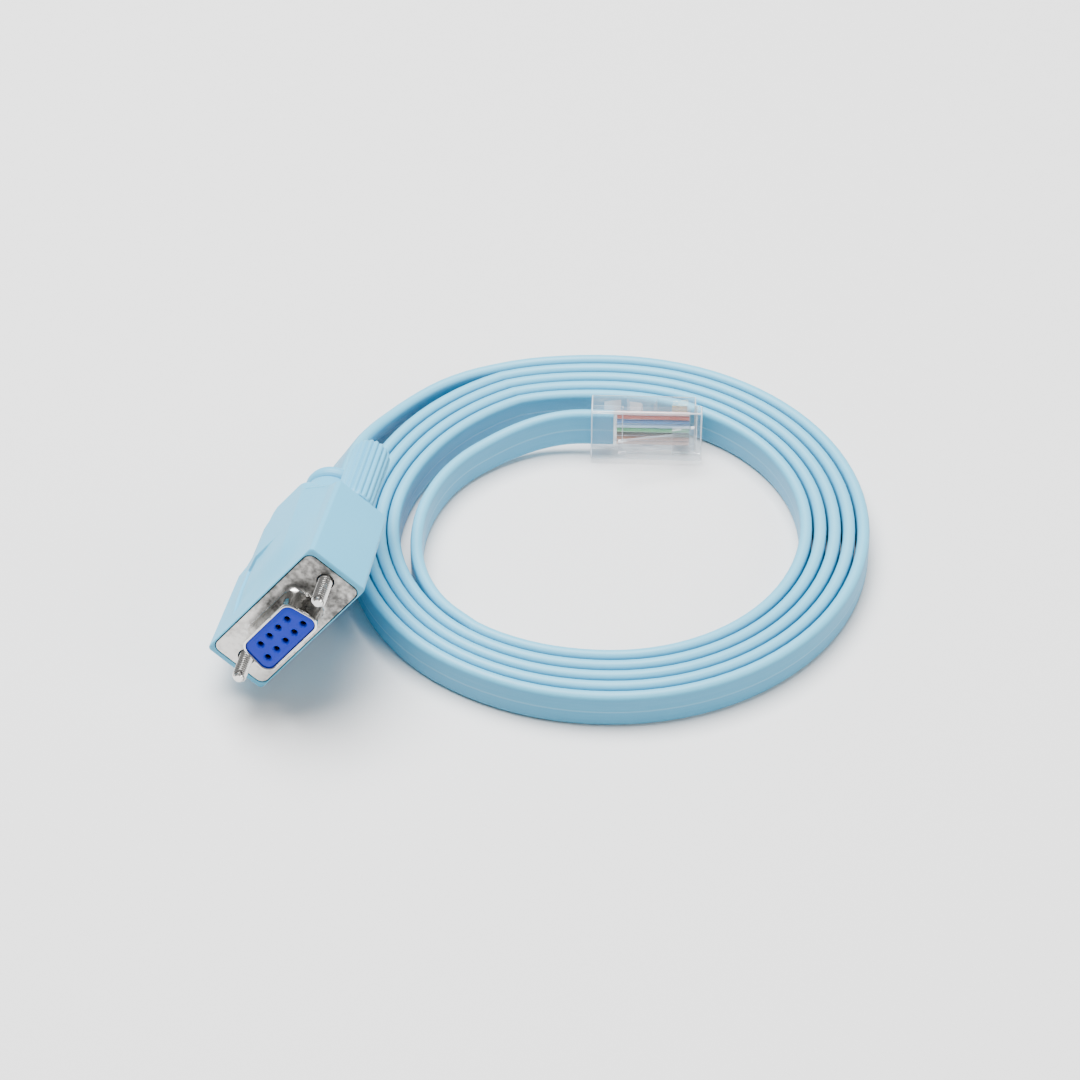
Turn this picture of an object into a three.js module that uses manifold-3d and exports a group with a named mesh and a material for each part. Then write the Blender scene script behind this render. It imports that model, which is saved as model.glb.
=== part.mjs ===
// A console cable: a flat eight-wire cable lying in a coil on its edge, with a moulded nine-way
// serial socket and two thumbscrews on one end and a clear eight-way modular plug on the other.
// Millimetres, +Z up. The coil and the socket's lower edge stand on the floor at z = 0.

import * as THREE from "three";
import { mergeVertices } from "three/addons/utils/BufferGeometryUtils.js";
import Module from "manifold-3d";

const wasm = await Module();
wasm.setup();

// Facets round each kind of turned or rounded surface, and how far a cut runs past a face
const ROUND_SEGMENTS = 32;
const SCREW_SEGMENTS = 20;
const CONTACT_SEGMENTS = 12;
const WIRE_SEGMENTS = 8;
const CORNER_SEGMENTS = 6;
const CUT_MARGIN = 1;

// Flat cable
const CABLE_WIDTH = 8;
const CABLE_THICKNESS = 2.5;
const CABLE_EDGE = 0.75;
const TURN_PITCH = 2.9;
const TURNS = 5;
const COIL_RADIUS = 51.7;
const COIL_SEGMENTS = 72;
const GROOVE_DEPTH = 1.2;
const FACE_GAP = 0.3;
const LEAD_STEPS = 22;

const COIL_BORE = COIL_RADIUS - CABLE_THICKNESS - (TURNS - 1) * TURN_PITCH;

// Where the cable enters the hood, outside the coil, and how the hood lies: an angle round the
// coil, a distance out from its outer side, and a height
const HOOD_ENTRY = [177.3, 4.16, 13.6];
const HOOD_HEADING = THREE.MathUtils.degToRad(-9.1);
const HOOD_DIP = THREE.MathUtils.degToRad(-8.4);
const HOOD_ROLL = THREE.MathUtils.degToRad(-51.4);

// Where the cable enters the plug, and how the plug leans on the inner turn near its nose
const PLUG_START = -4;
const PLUG_HEIGHT = 6.25;
const PLUG_HEADING = THREE.MathUtils.degToRad(-2);
const PLUG_LEAN = THREE.MathUtils.degToRad(-8);

// Centre lines of the two leads, chosen by hand from the way the cable lies. Each point is an angle
// round the coil, a distance out from its outer side or in from its bore, and a height. The hood's
// lead starts just behind the hood, and the plug's lead ends in a straight stretch in the plug.
const HOOD_LEAD = [
  [172.6, 3.87, 12.9],
  [166.2, 3.79, 11.3],
  [159.5, 3.8, 9.1],
  [152.8, 3.85, 6.9],
  [145.7, 3.77, 5.1],
  [137.9, 3.53, 4.25],
  [129.8, 3.25, 4.1],
  [123, 2.66, 4.05],
  [116.6, 1.88, 4.05],
];
const PLUG_LEAD = [
  [146.1, 1.93, 4.05],
  [136.5, 2.87, 4.2],
  [126.4, 3.92, 4.7],
  [116.5, 4.86, 5.3],
  [106.6, 6.09, 6],
];

// Moulded hood, in the socket's own frame: y runs from the flange's front back to the cable
const HOOD_WIDTH = 33.2;
const HOOD_HEIGHT = 13.4;
const HOOD_BACK_HEIGHT = 11.5;
const HOOD_CREST = 16.4;
const HOOD_CREST_WIDTH = 14;
const HOOD_SHOULDER = 24.6;
const HOOD_BODY = 34.5;
const HOOD_TAIL_WIDTH = 14.6;
const HOOD_TAIL_CORNER = 3.5;
const RIM_LIP = 1;
const NECK_RADIUS = 4.9;
const COLLAR_RADIUS = 5.7;
const COLLAR_LENGTH = 2.6;
const GROOVE_LENGTH = 1.2;
const HOOD_LENGTH = 47;

// Serial socket
const FLANGE_WIDTH = 30.8;
const FLANGE_HEIGHT = 12.5;
const FLANGE_THICKNESS = 0.9;
const FLANGE_CORNER = 1.6;
const SEAT_GAP = 0.2;
const SHELL_WIDTH = 16.4;
const SHELL_HEIGHT = 8;
const SHELL_WALL = 0.45;
const SHELL_REACH = 6;
const SHELL_CORNER = 2.2;
const SHELL_SLANT = THREE.MathUtils.degToRad(10);
const INSULATOR_DEPTH = 10;
const INSULATOR_SETBACK = 0.25;
const PIN_PITCH = 2.77;
const ROW_SPACING = 2.84;
const PIN_ROWS = [5, 4];
const PIN_HOLE_RADIUS = 0.8;
const CONTACT_RADIUS = 0.65;
const CONTACT_BORE = 0.45;
const CONTACT_SETBACK = 1.1;
const CONTACT_LENGTH = 7.2;
const CONTACT_BORE_DEPTH = 4;

// Thumbscrews
const SCREW_SPACING = 25;
const SCREW_RADIUS = 1.42;
const SCREW_REACH = 7.4;
const SCREW_TIP = 0.5;
const RUNNING_GAP = 0.3;
const KNOB_RADIUS = 4;
const KNOB_RIBS = 20;
const RIB_DEPTH = 0.3;
const RIB_OUTLINE = [0, 0, RIB_DEPTH, RIB_DEPTH];
const KNOB_LENGTH = 20;
const KNOB_DOME = 1.4;
const KNOB_GRIP = 12;
const KNOB_SETBACK = 1.2;
const KNOB_CLEARANCE = 0.6;
const KNOB_SHOULDER_RADIUS = 3.3;
const KNOB_END_RADIUS = 2;
const KNOB_START = HOOD_SHOULDER + KNOB_SETBACK;

// Modular plug, in its own frame: x runs from the cable entry to the nose, the latch faces -y and
// the width is along z
const PLUG_LENGTH = 22.9;
const PLUG_WIDTH = 11.7;
const PLUG_THICKNESS = 6.6;
const NOSE_STEP = 1.3;
const NOSE_STEP_THICKNESS = 3.2;
const DUCT_WIDTH = 8.7;
const JACKET_DUCT_HEIGHT = 3.1;
const JACKET_INSERTION = 5;
const JACKET_DUCT_LENGTH = 6.6;
const WIRE_DUCT_HEIGHT = 1.6;
const WIRE_COUNT = 8;
const WIRE_PITCH = 1.02;
const WIRE_RADIUS = 0.42;
const WIRE_END_MARGIN = 2.6;
const BLADE_THICKNESS = 0.32;
const BLADE_LENGTH = 3.2;
const BLADE_SLOT = 0.56;
const BLADE_SETBACK = 0.5;
const BLADE_RECESS = 0.4;
const BLADE_GAP = 0.15;
const LATCH_LENGTH = 15.6;
const LATCH_WIDTH = 3.3;
const LATCH_SHOULDER_WIDTH = 6.2;
const LATCH_SHOULDER_LENGTH = 4.6;
const LATCH_THICKNESS = 1.1;
const LATCH_ROOT_MARGIN = 1.6;
const LATCH_STANDOFF = 3.4;
const CONTACT_SIDE = PLUG_THICKNESS / 2;
const WIRE_END = PLUG_LENGTH - WIRE_END_MARGIN;
const BLADE_END = WIRE_END - BLADE_SETBACK;

function material(colour, roughness, metalness = 0, opacity = 1) {
  return new THREE.MeshStandardMaterial({
    color: colour,
    roughness,
    metalness,
    opacity,
    transparent: opacity < 1,
  });
}

const jacketBlue = material(0x9fcfe0, 0.45);
const hoodBlue = material(0xa8d3e0, 0.5);
const nickel = material(0xc9c8c4, 0.28, 1);
const steel = material(0xd6d6d4, 0.25, 1);
const insulatorBlue = material(0x1c46c8, 0.4);
const gold = material(0xd9b45a, 0.25, 1);
const clearPlastic = material(0xe8eef2, 0.08, 0, 0.35);
const WIRE_COLOURS = [0xf0d9d6, 0xd8663f, 0x3a8fcf, 0xdfe8f2, 0x6fc27c, 0x5a3f33, 0xd98a4e, 0xe9c9b4];

// Turns a closed three.js geometry into a solid that can be joined and cut.
function solid(geometry) {
  const bare = geometry.clone();
  bare.deleteAttribute("normal");
  bare.deleteAttribute("uv");
  const merged = mergeVertices(bare, 1e-4);
  return new wasm.Manifold(
    new wasm.Mesh({
      numProp: 3,
      vertProperties: new Float32Array(merged.attributes.position.array),
      triVerts: new Uint32Array(merged.index.array),
    }),
  );
}

function geometryOf(made) {
  const mesh = made.getMesh();
  const geometry = new THREE.BufferGeometry();
  geometry.setAttribute("position", new THREE.BufferAttribute(mesh.vertProperties, 3));
  geometry.setIndex(new THREE.BufferAttribute(mesh.triVerts, 1));
  geometry.computeVertexNormals();
  return geometry;
}

function named(name, geometry, finish) {
  const mesh = new THREE.Mesh(geometry, finish);
  mesh.name = name;
  return mesh;
}

function polygon(points) {
  return new THREE.Shape(points.map(([x, y]) => new THREE.Vector2(x, y)));
}

function extruded(shape, depth) {
  return new THREE.ExtrudeGeometry(shape, {
    depth,
    bevelEnabled: false,
    curveSegments: CORNER_SEGMENTS,
  });
}

// Extrusions of an outline drawn in x and z (along y), or in y and z (along x).
const outlineAlongY = new THREE.Matrix4().makeBasis(
  new THREE.Vector3(1, 0, 0),
  new THREE.Vector3(0, 0, 1),
  new THREE.Vector3(0, -1, 0),
);
const outlineAlongX = new THREE.Matrix4().makeBasis(
  new THREE.Vector3(0, 1, 0),
  new THREE.Vector3(0, 0, 1),
  new THREE.Vector3(1, 0, 0),
);

// The extrusion of an x-z outline from y = from to y = to.
function alongY(shape, from, to) {
  return extruded(shape, to - from).applyMatrix4(outlineAlongY).translate(0, to, 0);
}

// A turned solid about the y axis, from pairs of its radius and its place along y.
function latheAlongY(profile, segments = ROUND_SEGMENTS) {
  const points = profile.map(([radius, y]) => new THREE.Vector2(radius, y));
  return new THREE.LatheGeometry(points, segments);
}

function boxBetween(low, high) {
  const size = high.clone().sub(low);
  const middle = high.clone().add(low).multiplyScalar(0.5);
  return new THREE.BoxGeometry(size.x, size.y, size.z).translate(middle.x, middle.y, middle.z);
}

function roundedRectangle(width, height, corner) {
  const x = width / 2;
  const y = height / 2;
  const shape = new THREE.Shape();
  shape.moveTo(-x + corner, -y);
  shape.lineTo(x - corner, -y);
  shape.absarc(x - corner, -y + corner, corner, -Math.PI / 2, 0);
  shape.lineTo(x, y - corner);
  shape.absarc(x - corner, y - corner, corner, 0, Math.PI / 2);
  shape.lineTo(-x + corner, y);
  shape.absarc(-x + corner, y - corner, corner, Math.PI / 2, Math.PI);
  shape.lineTo(-x, -y + corner);
  shape.absarc(-x + corner, -y + corner, corner, Math.PI, (3 * Math.PI) / 2);
  return shape;
}

// The socket's D outline, its wide side down, grown or shrunk all round by an offset.
function dOutline(offset) {
  const corner = SHELL_CORNER + offset;
  const height = SHELL_HEIGHT / 2 - SHELL_CORNER;
  const wide = SHELL_WIDTH / 2 - SHELL_CORNER;
  const narrow = wide - 2 * height * Math.tan(SHELL_SLANT);
  const shape = new THREE.Shape();
  shape.moveTo(-wide, -height - corner);
  shape.lineTo(wide, -height - corner);
  shape.absarc(wide, -height, corner, -Math.PI / 2, SHELL_SLANT);
  shape.absarc(narrow, height, corner, SHELL_SLANT, Math.PI / 2);
  shape.lineTo(-narrow, height + corner);
  shape.absarc(-narrow, height, corner, Math.PI / 2, Math.PI - SHELL_SLANT);
  shape.absarc(-wide, -height, corner, Math.PI - SHELL_SLANT, (3 * Math.PI) / 2);
  return shape;
}

// The coil is a ring whose ends are grooved between the turns.
function coilGeometry() {
  const half = CABLE_WIDTH / 2;
  const top = [];
  for (let turn = 0; turn < TURNS; turn++) {
    const near = COIL_BORE + turn * TURN_PITCH;
    const far = near + CABLE_THICKNESS;
    const first = turn === 0;
    const last = turn === TURNS - 1;
    if (first) top.push([near, half - CABLE_EDGE]);
    top.push([near + CABLE_EDGE, half], [far - CABLE_EDGE, half]);
    if (last) top.push([far, half - CABLE_EDGE]);
    else top.push([(far + near + TURN_PITCH) / 2, half - GROOVE_DEPTH]);
  }
  const bottom = top.map(([radius, height]) => [radius, -height]);
  const profile = [...bottom, ...top.reverse(), bottom[0]];
  const points = profile.map(([radius, height]) => new THREE.Vector2(radius, height));
  return new THREE.LatheGeometry(points, COIL_SEGMENTS).rotateX(Math.PI / 2).translate(0, 0, half);
}

// The point at an angle round the coil, at a radius and a height.
function aroundCoil(angle, radius, height) {
  const turn = THREE.MathUtils.degToRad(angle);
  return new THREE.Vector3(radius * Math.cos(turn), radius * Math.sin(turn), height);
}

function outsideCoil([angle, distance, height]) {
  return aroundCoil(angle, COIL_RADIUS + distance, height);
}

function insideCoil([angle, distance, height]) {
  return aroundCoil(angle, COIL_BORE - distance, height);
}

// A cable path that also says which way the cable's width points, from its start to its end.
class RibbonPath extends THREE.CatmullRomCurve3 {
  constructor(points, startWidth, endWidth) {
    super(points, false, "centripetal");
    this.startWidth = startWidth;
    this.endWidth = endWidth;
  }

  computeFrenetFrames(segments) {
    const tangents = [];
    const normals = [];
    const binormals = [];
    for (let i = 0; i <= segments; i++) {
      const along = i / segments;
      const tangent = this.getTangentAt(along);
      const width = this.startWidth.clone().lerp(this.endWidth, THREE.MathUtils.smoothstep(along, 0, 1));
      const binormal = tangent.clone().cross(width).normalize();
      tangents.push(tangent);
      normals.push(binormal.clone().cross(tangent));
      binormals.push(binormal);
    }
    return { tangents, normals, binormals };
  }
}

function cableSection() {
  const x = CABLE_WIDTH / 2;
  const y = CABLE_THICKNESS / 2;
  const e = CABLE_EDGE;
  return polygon([
    [-x, -y + e],
    [-x + e, -y],
    [x - e, -y],
    [x, -y + e],
    [x, y - e],
    [x - e, y],
    [-x + e, y],
    [-x, y - e],
  ]);
}

function leadGeometry(points, startWidth, endWidth) {
  return new THREE.ExtrudeGeometry(cableSection(), {
    steps: LEAD_STEPS,
    bevelEnabled: false,
    extrudePath: new RibbonPath(points, startWidth, endWidth),
  });
}

// The hood's outline seen on its broad face, and its section and side outlines, are cut together.
function hoodGeometry() {
  const half = HOOD_WIDTH / 2;
  const tail = HOOD_TAIL_WIDTH / 2;
  const plan = polygon([
    [-half, 0],
    [half, 0],
    [half, HOOD_SHOULDER],
    [tail, HOOD_BODY - HOOD_TAIL_CORNER],
    [tail - HOOD_TAIL_CORNER / 2, HOOD_BODY],
    [-tail + HOOD_TAIL_CORNER / 2, HOOD_BODY],
    [-tail, HOOD_BODY - HOOD_TAIL_CORNER],
    [-half, HOOD_SHOULDER],
  ]);
  const crest = HOOD_CREST / 2;
  const front = HOOD_HEIGHT / 2;
  const back = HOOD_BACK_HEIGHT / 2;
  const middle = HOOD_CREST_WIDTH / 2;
  const section = polygon([
    [-half, -back],
    [-middle, -crest],
    [middle, -crest],
    [half, -back],
    [half, back],
    [middle, crest],
    [-middle, crest],
    [-half, back],
  ]);
  const side = polygon([
    [0, -front],
    [RIM_LIP, -front],
    [HOOD_SHOULDER, -crest],
    [HOOD_BODY, -crest],
    [HOOD_BODY, crest],
    [HOOD_SHOULDER, crest],
    [RIM_LIP, front],
    [0, front],
  ]);
  const rimBlock = polygon([
    [0, -front],
    [HOOD_SHOULDER, -back],
    [HOOD_SHOULDER, back],
    [0, front],
  ]);
  const planBlock = solid(extruded(plan, HOOD_CREST).translate(0, 0, -crest));
  const swelling = solid(alongY(section, 0, HOOD_BODY)).intersect(
    solid(extruded(side, HOOD_WIDTH).applyMatrix4(outlineAlongX).translate(-half, 0, 0)),
  );
  const flat = solid(extruded(rimBlock, HOOD_WIDTH).applyMatrix4(outlineAlongX).translate(-half, 0, 0));
  const neck = solid(
    latheAlongY([
      [0, HOOD_BODY - HOOD_TAIL_CORNER],
      [NECK_RADIUS, HOOD_BODY - HOOD_TAIL_CORNER],
      [NECK_RADIUS, HOOD_LENGTH - COLLAR_LENGTH],
      [COLLAR_RADIUS, HOOD_LENGTH - COLLAR_LENGTH],
      [COLLAR_RADIUS, HOOD_LENGTH - GROOVE_LENGTH],
      [NECK_RADIUS, HOOD_LENGTH],
      [0, HOOD_LENGTH],
    ]),
  );
  let hood = swelling.add(flat).intersect(planBlock).add(neck);
  const seat = roundedRectangle(
    FLANGE_WIDTH + 2 * SEAT_GAP,
    FLANGE_HEIGHT + 2 * SEAT_GAP,
    FLANGE_CORNER,
  );
  hood = hood.subtract(solid(alongY(seat, -CUT_MARGIN, FLANGE_THICKNESS + SEAT_GAP)));
  const pocket = dOutline(SEAT_GAP - SHELL_WALL);
  const pocketEnd = INSULATOR_DEPTH - SHELL_REACH + INSULATOR_SETBACK + SEAT_GAP;
  hood = hood.subtract(solid(alongY(pocket, 0, pocketEnd)));
  for (const x of [-SCREW_SPACING / 2, SCREW_SPACING / 2]) {
    const bore = latheAlongY([
      [0, 0],
      [SCREW_RADIUS + RUNNING_GAP, 0],
      [SCREW_RADIUS + RUNNING_GAP, KNOB_START - RUNNING_GAP],
      [KNOB_RADIUS + KNOB_CLEARANCE, KNOB_START - RUNNING_GAP],
      [KNOB_RADIUS + KNOB_CLEARANCE, HOOD_LENGTH],
      [0, HOOD_LENGTH],
    ]);
    hood = hood.subtract(solid(bore.translate(x, 0, 0)));
  }
  return geometryOf(hood);
}

function shellGeometry() {
  const flange = roundedRectangle(FLANGE_WIDTH, FLANGE_HEIGHT, FLANGE_CORNER);
  for (const x of [-SCREW_SPACING / 2, SCREW_SPACING / 2]) {
    const hole = new THREE.Path();
    hole.absarc(x, 0, SCREW_RADIUS + RUNNING_GAP, 0, 2 * Math.PI, true);
    flange.holes.push(hole);
  }
  const plate = solid(alongY(flange, 0, FLANGE_THICKNESS));
  const tube = solid(alongY(dOutline(0), -SHELL_REACH, FLANGE_THICKNESS));
  const mouth = solid(alongY(dOutline(-SHELL_WALL), -2 * SHELL_REACH, SHELL_REACH));
  return geometryOf(plate.add(tube).subtract(mouth));
}

function pinPlaces() {
  const places = [];
  PIN_ROWS.forEach((count, row) => {
    const z = (row - 0.5) * ROW_SPACING;
    for (let i = 0; i < count; i++) places.push([((count - 1) / 2 - i) * PIN_PITCH, z]);
  });
  return places;
}

function insulatorGeometry() {
  const shape = dOutline(-SHELL_WALL - SEAT_GAP);
  for (const [x, z] of pinPlaces()) {
    const hole = new THREE.Path();
    hole.absarc(x, z, PIN_HOLE_RADIUS, 0, 2 * Math.PI, true);
    shape.holes.push(hole);
  }
  const face = -SHELL_REACH + INSULATOR_SETBACK;
  return alongY(shape, face, face + INSULATOR_DEPTH);
}

function contactGeometry(x, z) {
  const face = -SHELL_REACH + INSULATOR_SETBACK + CONTACT_SETBACK;
  const profile = [
    [0, face + CONTACT_BORE_DEPTH],
    [CONTACT_BORE, face + CONTACT_BORE_DEPTH],
    [CONTACT_BORE, face],
    [CONTACT_RADIUS, face],
    [CONTACT_RADIUS, face + CONTACT_LENGTH],
    [0, face + CONTACT_LENGTH],
  ];
  return latheAlongY(profile, CONTACT_SEGMENTS).translate(x, 0, z);
}

function screwGeometry() {
  const profile = [
    [0, -SCREW_REACH],
    [SCREW_RADIUS - SCREW_TIP, -SCREW_REACH],
    [SCREW_RADIUS, -SCREW_REACH + SCREW_TIP],
    [SCREW_RADIUS, KNOB_START + KNOB_GRIP],
    [0, KNOB_START + KNOB_GRIP],
  ];
  return latheAlongY(profile, SCREW_SEGMENTS);
}

// The knob's base sits in a pocket behind the hood's shoulder.
function knobGeometry() {
  const outline = new THREE.Shape();
  for (let i = 0; i < KNOB_RIBS; i++) {
    RIB_OUTLINE.forEach((depth, step) => {
      const angle = ((i + step / RIB_OUTLINE.length) * 2 * Math.PI) / KNOB_RIBS;
      const radius = KNOB_RADIUS - depth;
      const place = [radius * Math.cos(angle), radius * Math.sin(angle)];
      if (i + step === 0) outline.moveTo(...place);
      else outline.lineTo(...place);
    });
  }
  const end = KNOB_START + KNOB_LENGTH;
  const ribbed = solid(alongY(outline, KNOB_START, end));
  const dome = solid(
    latheAlongY([
      [0, KNOB_START],
      [KNOB_RADIUS - RIB_DEPTH, KNOB_START],
      [KNOB_RADIUS, KNOB_START + RIB_DEPTH],
      [KNOB_RADIUS, end - KNOB_DOME],
      [KNOB_SHOULDER_RADIUS, end - RIB_DEPTH],
      [KNOB_END_RADIUS, end],
      [0, end],
    ]),
  );
  const bore = solid(
    latheAlongY([
      [0, KNOB_START - RUNNING_GAP],
      [SCREW_RADIUS + SEAT_GAP, KNOB_START - RUNNING_GAP],
      [SCREW_RADIUS + SEAT_GAP, KNOB_START + KNOB_GRIP + SEAT_GAP],
      [0, KNOB_START + KNOB_GRIP + SEAT_GAP],
    ]),
  );
  return geometryOf(ribbed.intersect(dome).subtract(bore));
}

function wireHeight(i) {
  return ((WIRE_COUNT - 1) / 2 - i) * WIRE_PITCH;
}

function plugBodyGeometry() {
  const side = polygon([
    [0, -CONTACT_SIDE],
    [PLUG_LENGTH, -CONTACT_SIDE],
    [PLUG_LENGTH, -CONTACT_SIDE + NOSE_STEP_THICKNESS],
    [PLUG_LENGTH - NOSE_STEP, -CONTACT_SIDE + NOSE_STEP_THICKNESS],
    [PLUG_LENGTH - NOSE_STEP, CONTACT_SIDE],
    [0, CONTACT_SIDE],
  ]);
  let body = solid(extruded(side, PLUG_WIDTH).translate(0, 0, -PLUG_WIDTH / 2));
  const duct = DUCT_WIDTH / 2;
  body = body.subtract(
    solid(
      boxBetween(
        new THREE.Vector3(-CUT_MARGIN, -JACKET_DUCT_HEIGHT / 2, -duct),
        new THREE.Vector3(JACKET_DUCT_LENGTH, JACKET_DUCT_HEIGHT / 2, duct),
      ),
    ),
  );
  body = body.subtract(
    solid(
      boxBetween(
        new THREE.Vector3(0, -WIRE_DUCT_HEIGHT / 2, -duct),
        new THREE.Vector3(WIRE_END + FACE_GAP, WIRE_DUCT_HEIGHT / 2, duct),
      ),
    ),
  );
  for (let i = 0; i < WIRE_COUNT; i++) {
    const z = wireHeight(i);
    const slot = boxBetween(
      new THREE.Vector3(BLADE_END - BLADE_LENGTH - FACE_GAP, 0, z - BLADE_SLOT / 2),
      new THREE.Vector3(BLADE_END + FACE_GAP, CONTACT_SIDE + CUT_MARGIN, z + BLADE_SLOT / 2),
    );
    body = body.subtract(solid(slot));
  }
  return geometryOf(body);
}

function wireGeometry(i) {
  const start = JACKET_INSERTION + FACE_GAP;
  return new THREE.CylinderGeometry(WIRE_RADIUS, WIRE_RADIUS, WIRE_END - start, WIRE_SEGMENTS)
    .rotateZ(Math.PI / 2)
    .translate((WIRE_END + start) / 2, 0, wireHeight(i));
}

function bladeGeometry(i) {
  const z = wireHeight(i);
  return boxBetween(
    new THREE.Vector3(BLADE_END - BLADE_LENGTH, WIRE_RADIUS + BLADE_GAP, z - BLADE_THICKNESS / 2),
    new THREE.Vector3(BLADE_END, CONTACT_SIDE - BLADE_RECESS, z + BLADE_THICKNESS / 2),
  );
}

function latchGeometry() {
  const root = PLUG_LENGTH - LATCH_ROOT_MARGIN;
  const tip = root - LATCH_LENGTH;
  const face = -CONTACT_SIDE - FACE_GAP;
  const knee = root - LATCH_SHOULDER_LENGTH;
  const kneeRise = (LATCH_STANDOFF * LATCH_SHOULDER_LENGTH) / LATCH_LENGTH;
  const lever = polygon([
    [root, face],
    [tip, face - LATCH_STANDOFF],
    [tip, face - LATCH_STANDOFF - LATCH_THICKNESS],
    [root, face - LATCH_THICKNESS],
  ]);
  const shoulder = polygon([
    [root, face],
    [knee, face - kneeRise],
    [knee, face - kneeRise - LATCH_THICKNESS],
    [root, face - LATCH_THICKNESS],
  ]);
  const long = solid(extruded(lever, LATCH_WIDTH).translate(0, 0, -LATCH_WIDTH / 2));
  const wide = solid(
    extruded(shoulder, LATCH_SHOULDER_WIDTH).translate(0, 0, -LATCH_SHOULDER_WIDTH / 2),
  );
  return geometryOf(long.add(wide));
}

function serialSocket() {
  const group = new THREE.Group();
  group.add(named("hood", hoodGeometry(), hoodBlue));
  group.add(named("dsub_shell", shellGeometry(), nickel));
  group.add(named("dsub_insulator", insulatorGeometry(), insulatorBlue));
  pinPlaces().forEach(([x, z], i) => {
    group.add(named(`socket_contact_${i + 1}`, contactGeometry(x, z), gold));
  });
  for (const [side, x] of [
    ["left", -SCREW_SPACING / 2],
    ["right", SCREW_SPACING / 2],
  ]) {
    const screw = named(`jackscrew_${side}`, screwGeometry(), steel);
    const knob = named(`knob_${side}`, knobGeometry(), hoodBlue);
    screw.position.x = x;
    knob.position.x = x;
    group.add(screw, knob);
  }
  return group;
}

function modularPlug() {
  const group = new THREE.Group();
  group.add(named("plug_body", plugBodyGeometry(), clearPlastic));
  group.add(named("plug_latch", latchGeometry(), clearPlastic));
  for (let i = 0; i < WIRE_COUNT; i++) {
    group.add(named(`wire_${i + 1}`, wireGeometry(i), material(WIRE_COLOURS[i], 0.5)));
    group.add(named(`plug_contact_${i + 1}`, bladeGeometry(i), gold));
  }
  return group;
}

// The plug's contact side touches the inner turn, but for a small gap, at the corner by its nose.
function plugEntry() {
  const along = PLUG_LENGTH - NOSE_STEP;
  const x = PLUG_START + along * Math.cos(PLUG_HEADING) - CONTACT_SIDE * Math.sin(PLUG_HEADING);
  const leaned = CONTACT_SIDE + (PLUG_HEIGHT - CABLE_WIDTH) * Math.sin(PLUG_LEAN);
  const corner = Math.sqrt((COIL_BORE - FACE_GAP) ** 2 - x ** 2);
  const y = corner - leaned / Math.cos(PLUG_LEAN) - along * Math.sin(PLUG_HEADING);
  return new THREE.Vector3(PLUG_START, y, PLUG_HEIGHT);
}

const cable = new THREE.Group();
const upright = new THREE.Vector3(0, 0, 1);

const socket = serialSocket();
const hoodEntry = outsideCoil(HOOD_ENTRY);
socket.rotation.copy(new THREE.Euler(HOOD_DIP, HOOD_ROLL, HOOD_HEADING, "ZXY"));
const socketBack = new THREE.Vector3(0, 1, 0).applyEuler(socket.rotation);
socket.position.copy(hoodEntry).addScaledVector(socketBack, -HOOD_LENGTH);
const socketWidth = new THREE.Vector3(1, 0, 0).applyEuler(socket.rotation);
const hoodLeadStart = hoodEntry.clone().addScaledVector(socketBack, FACE_GAP);
const hoodLead = [hoodLeadStart, ...HOOD_LEAD.map(outsideCoil)];

const plug = modularPlug();
plug.rotation.copy(new THREE.Euler(PLUG_LEAN, 0, PLUG_HEADING, "ZXY"));
plug.position.copy(plugEntry());
const plugForward = new THREE.Vector3(1, 0, 0).applyEuler(plug.rotation);
const plugWidth = new THREE.Vector3(0, 0, 1).applyEuler(plug.rotation);
const jacketEnd = plug.position.clone().addScaledVector(plugForward, JACKET_INSERTION);
const plugLead = [...PLUG_LEAD.map(insideCoil), plug.position, jacketEnd];

cable.add(named("cable_coil", coilGeometry(), jacketBlue));
cable.add(named("cable_hood_lead", leadGeometry(hoodLead, socketWidth, upright), jacketBlue));
cable.add(named("cable_plug_lead", leadGeometry(plugLead, upright, plugWidth), jacketBlue));
cable.add(socket);
cable.add(plug);

// The part's origin is the middle of its footprint, on the floor.
cable.updateMatrixWorld(true);
const reach = new THREE.Box3().setFromObject(cable, true);
const footprint = reach.getCenter(new THREE.Vector3());
cable.position.set(-footprint.x, -footprint.y, -reach.min.z);

export default cable;
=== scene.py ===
# %% [markdown]
# # A coiled console cable
# This lesson dresses a measured model of a flat console cable. The measured model comes in as
# plain solids, one for each separate piece of the real cable. Blender gives them the moulded,
# plated and clear surfaces of the real one, and nothing is moved from where it was measured.

# %% Load the measured frame
import math
import bmesh
import bpy
from mathutils import Matrix, Vector


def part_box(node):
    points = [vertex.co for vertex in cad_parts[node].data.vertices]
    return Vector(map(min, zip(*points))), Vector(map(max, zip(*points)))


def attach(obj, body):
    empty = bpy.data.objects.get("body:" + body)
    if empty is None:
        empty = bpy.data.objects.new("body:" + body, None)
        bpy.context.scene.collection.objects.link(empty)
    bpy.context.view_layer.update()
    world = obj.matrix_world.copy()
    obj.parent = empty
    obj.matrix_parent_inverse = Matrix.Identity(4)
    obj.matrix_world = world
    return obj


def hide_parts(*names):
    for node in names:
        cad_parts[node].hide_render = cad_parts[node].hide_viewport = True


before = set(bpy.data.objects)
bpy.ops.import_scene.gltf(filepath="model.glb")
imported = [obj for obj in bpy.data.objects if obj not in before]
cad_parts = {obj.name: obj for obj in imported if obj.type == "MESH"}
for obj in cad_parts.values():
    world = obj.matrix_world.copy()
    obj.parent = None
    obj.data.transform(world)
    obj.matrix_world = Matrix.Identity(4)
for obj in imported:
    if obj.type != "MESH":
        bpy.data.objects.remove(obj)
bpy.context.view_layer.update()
coil_low, coil_high = (Vector(corner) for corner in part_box("cable_coil"))

# %% [markdown]
# Every size below is in millimetres, because that is how a maker thinks of a connector. One
# matrix turns millimetres round the middle of the coil into the frame's metres. The socket and the
# plug each have a frame of their own as well, so that they can be modelled lying straight.

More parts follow.
